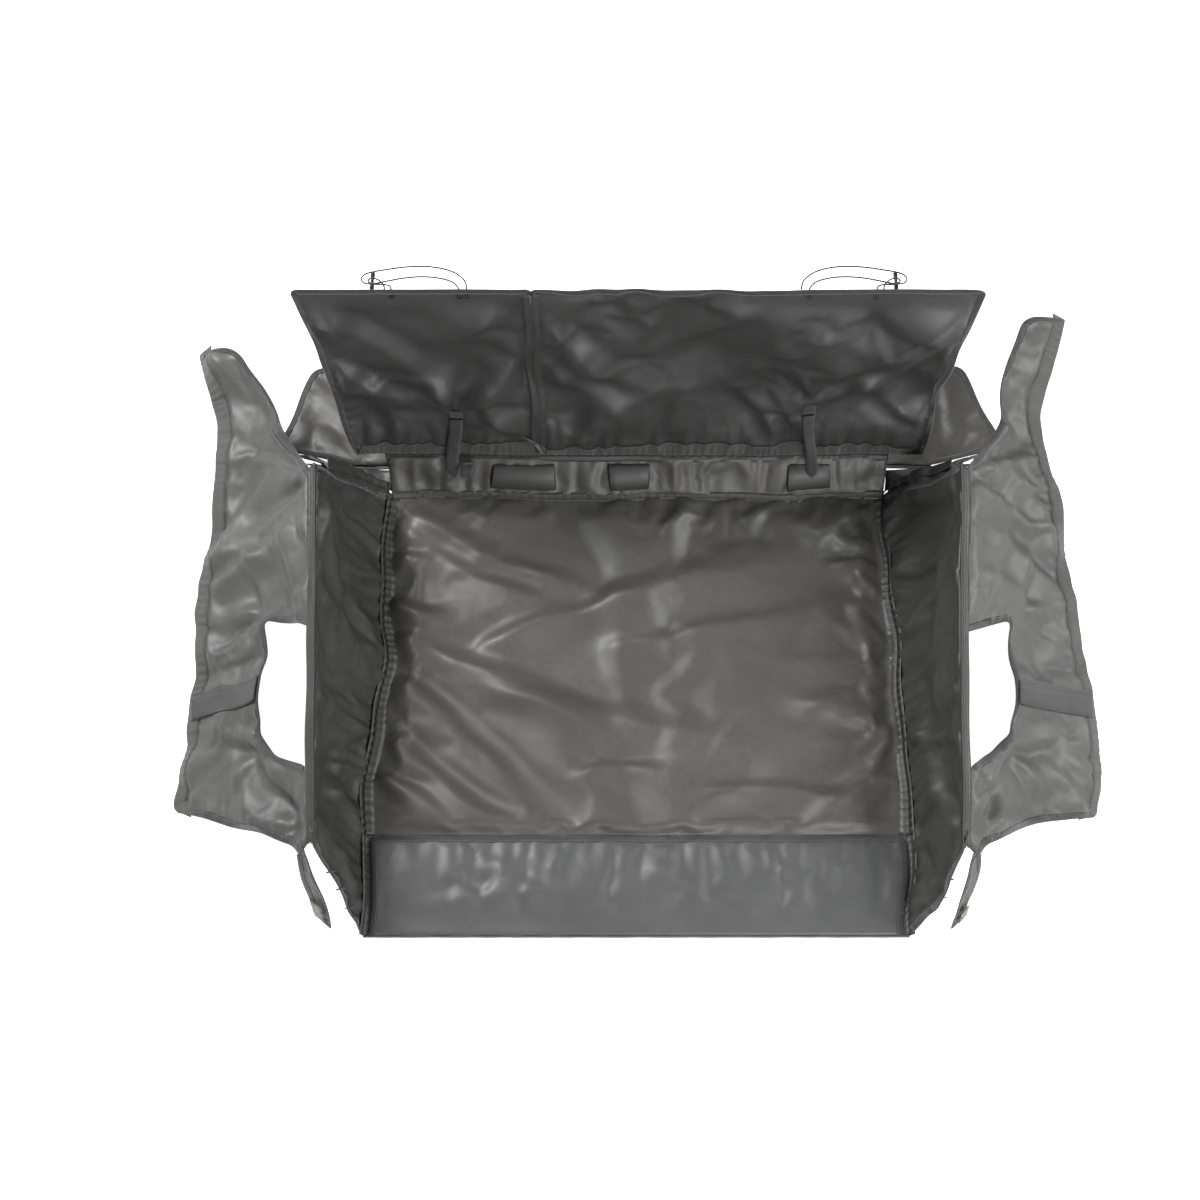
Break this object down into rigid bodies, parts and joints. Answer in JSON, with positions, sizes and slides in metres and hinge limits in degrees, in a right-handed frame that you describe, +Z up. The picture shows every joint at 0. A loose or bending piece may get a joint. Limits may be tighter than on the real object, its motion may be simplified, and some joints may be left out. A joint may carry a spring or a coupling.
{
  "type": "load space liner",
  "caption": "Sewn cloth liner for a vehicle load space: floor, leaning walls, draped side wings with cut-outs, fold-in bumper flap and a split back flap with headrest loops.",
  "frame": {"origin": "centre of the floor panel's underside", "axes": "+Z up, +Y from the bumper end to the seat end, +X to the right seen from the bumper end"},
  "size_m": [1.723, 1.2051, 0.5666],
  "materials": {
    "liner_cloth": "coated polyester, semi-gloss",
    "wing_cloth": "coated polyester, uncoated face",
    "skirt_cloth": "coated polyester, satin",
    "flap_cloth": "coated polyester, glossy",
    "binding_tape": "ribbed tape, matte",
    "webbing": "woven webbing, matte",
    "hook_and_loop": "fuzzy, matte",
    "elastic_cord": "braided, matte",
    "toggle_plastic": "moulded",
    "eyelet_metal": "blackened"
  },
  "bodies": {
    "floor": {"floor_panel": "liner_cloth", "floor_seams": "liner_cloth", "rear_sill": "liner_cloth", "rear_sill_back": "liner_cloth", "tether_keepers": "liner_cloth", "rear_gusset_right": "liner_cloth", "rear_gusset_left": "liner_cloth"},
    "bumper": {"bumper_flap": "skirt_cloth", "bumper_binding": "binding_tape"},
    "apron": {"rear_apron": "liner_cloth", "apron_binding": "binding_tape"},
    "wall_right": {"wall_right": "liner_cloth", "wall_binding_right": "binding_tape", "corner_ties_right": "binding_tape"},
    "ridge_right": {"ridge_tape_right": "binding_tape"},
    "wing_right": {"wing_rear_panel_right": "wing_cloth", "wing_front_panel_right": "wing_cloth", "wing_hem_right": "wing_cloth", "wing_binding_right": "binding_tape", "loop_tape_right": "hook_and_loop"},
    "closure_right": {"closure_tab_right": "wing_cloth", "hook_tape_right": "hook_and_loop"},
    "corner_right": {"corner_tab_right": "wing_cloth", "corner_tab_binding_right": "binding_tape", "corner_hook_patch_right": "hook_and_loop"},
    "flap_right": {"back_flap_right": "flap_cloth", "flap_binding_right": "binding_tape", "flap_hem_right": "flap_cloth", "split_tape_right": "hook_and_loop", "eyelets_right": "eyelet_metal", "strap_patch_right": "webbing"},
    "strap_right": {"webbing_strap_right": "webbing"},
    "cords_right": {"long_loop_right": "elastic_cord", "short_loop_right": "elastic_cord", "toggle_right": "toggle_plastic"},
    "wall_left": {"wall_left": "liner_cloth", "wall_binding_left": "binding_tape", "corner_ties_left": "binding_tape"},
    "ridge_left": {"ridge_tape_left": "binding_tape"},
    "wing_left": {"wing_rear_panel_left": "wing_cloth", "wing_front_panel_left": "wing_cloth", "wing_hem_left": "wing_cloth", "wing_binding_left": "binding_tape", "loop_tape_left": "hook_and_loop"},
    "closure_left": {"closure_tab_left": "wing_cloth", "hook_tape_left": "hook_and_loop"},
    "corner_left": {"corner_tab_left": "wing_cloth", "corner_tab_binding_left": "binding_tape", "corner_hook_patch_left": "hook_and_loop"},
    "flap_left": {"back_flap_left": "flap_cloth", "flap_binding_left": "binding_tape", "flap_hem_left": "flap_cloth", "split_tape_left": "hook_and_loop", "eyelets_left": "eyelet_metal", "strap_patch_left": "webbing"},
    "strap_left": {"webbing_strap_left": "webbing", "strap_loop_left": "webbing"},
    "cords_left": {"long_loop_left": "elastic_cord", "short_loop_left": "elastic_cord", "toggle_left": "toggle_plastic"}
  },
  "joints": [
    {"name": "bumper_fold", "type": "hinge", "parent": "floor", "child": "bumper", "pos_m": [0, -0.4515, 0.0029], "axis": [1, 0, 0], "range_deg": [0, 168]},
    {"name": "apron_fold", "type": "hinge", "parent": "floor", "child": "apron", "pos_m": [0, 0.5205, 0.0016], "axis": [1, 0, 0], "range_deg": [0, 45]},
    {"name": "wall_fold_right", "type": "hinge", "parent": "floor", "child": "wall_right", "pos_m": [0.5, 0, 0.001], "axis": [0, 1, 0], "range_deg": [-12, 18]},
    {"name": "ridge_fold_right", "type": "hinge", "parent": "wall_right", "child": "ridge_right", "pos_m": [0.56466, -0.35, 0.2], "axis": [-0.0451, -0.9893, -0.1388], "range_deg": [-15.5, 23]},
    {"name": "wing_lift_right", "type": "hinge", "parent": "ridge_right", "child": "wing_right", "pos_m": [0.57575, -0.34938, 0.19199], "axis": [-0.0451, -0.9893, -0.1388], "range_deg": [0, 78]},
    {"name": "closure_peel_right", "type": "hinge", "parent": "wing_right", "child": "closure_right", "pos_m": [0.77684, -0.0054, 0.11004], "axis": [-0.8099, -0.0451, 0.5849], "range_deg": [0, 150]},
    {"name": "corner_tab_swing_right", "type": "hinge", "parent": "wing_right", "child": "corner_right", "pos_m": [0.59138, -0.34851, 0.1807], "axis": [-0.6929, -0.5977, 0.4034], "range_deg": [0, 70]},
    {"name": "back_flap_fold_right", "type": "hinge", "parent": "floor", "child": "flap_right", "pos_m": [0, 0.5095, 0.0665], "axis": [1, 0, 0], "range_deg": [-72, 0]},
    {"name": "strap_swing_right", "type": "hinge", "parent": "flap_right", "child": "strap_right", "pos_m": [0.337, 0.5202, 0.18503], "axis": [-1, 0, 0], "range_deg": [0, 100]},
    {"name": "cord_swing_right", "type": "hinge", "parent": "flap_right", "child": "cords_right", "pos_m": [0.359, 0.566, 0.55628], "axis": [1, 0, 0], "range_deg": [-40, 40]},
    {"name": "wall_fold_left", "type": "hinge", "parent": "floor", "child": "wall_left", "pos_m": [-0.5, 0, 0.001], "axis": [0, -1, 0], "range_deg": [-12, 18]},
    {"name": "ridge_fold_left", "type": "hinge", "parent": "wall_left", "child": "ridge_left", "pos_m": [-0.56466, -0.35, 0.2], "axis": [-0.0451, 0.9893, 0.1388], "range_deg": [-15.5, 23]},
    {"name": "wing_lift_left", "type": "hinge", "parent": "ridge_left", "child": "wing_left", "pos_m": [-0.57575, -0.34938, 0.19199], "axis": [-0.0451, 0.9893, 0.1388], "range_deg": [0, 78]},
    {"name": "closure_peel_left", "type": "hinge", "parent": "wing_left", "child": "closure_left", "pos_m": [-0.77684, -0.0054, 0.11004], "axis": [-0.8099, 0.0451, -0.5849], "range_deg": [0, 150]},
    {"name": "corner_tab_swing_left", "type": "hinge", "parent": "wing_left", "child": "corner_left", "pos_m": [-0.59138, -0.34851, 0.1807], "axis": [-0.6929, 0.5977, -0.4034], "range_deg": [0, 70]},
    {"name": "back_flap_fold_left", "type": "hinge", "parent": "floor", "child": "flap_left", "pos_m": [0, 0.5095, 0.0665], "axis": [1, 0, 0], "range_deg": [-72, 0]},
    {"name": "strap_swing_left", "type": "hinge", "parent": "flap_left", "child": "strap_left", "pos_m": [-0.355, 0.5202, 0.18503], "axis": [-1, 0, 0], "range_deg": [0, 100]},
    {"name": "cord_swing_left", "type": "hinge", "parent": "flap_left", "child": "cords_left", "pos_m": [-0.373, 0.566, 0.55628], "axis": [1, 0, 0], "range_deg": [-40, 40]}
  ],
  "couplings": [
    {"joint": "ridge_fold_right", "follows": "wall_fold_right", "ratio": 1.25},
    {"joint": "ridge_fold_left", "follows": "wall_fold_left", "ratio": 1.25}
  ]
}
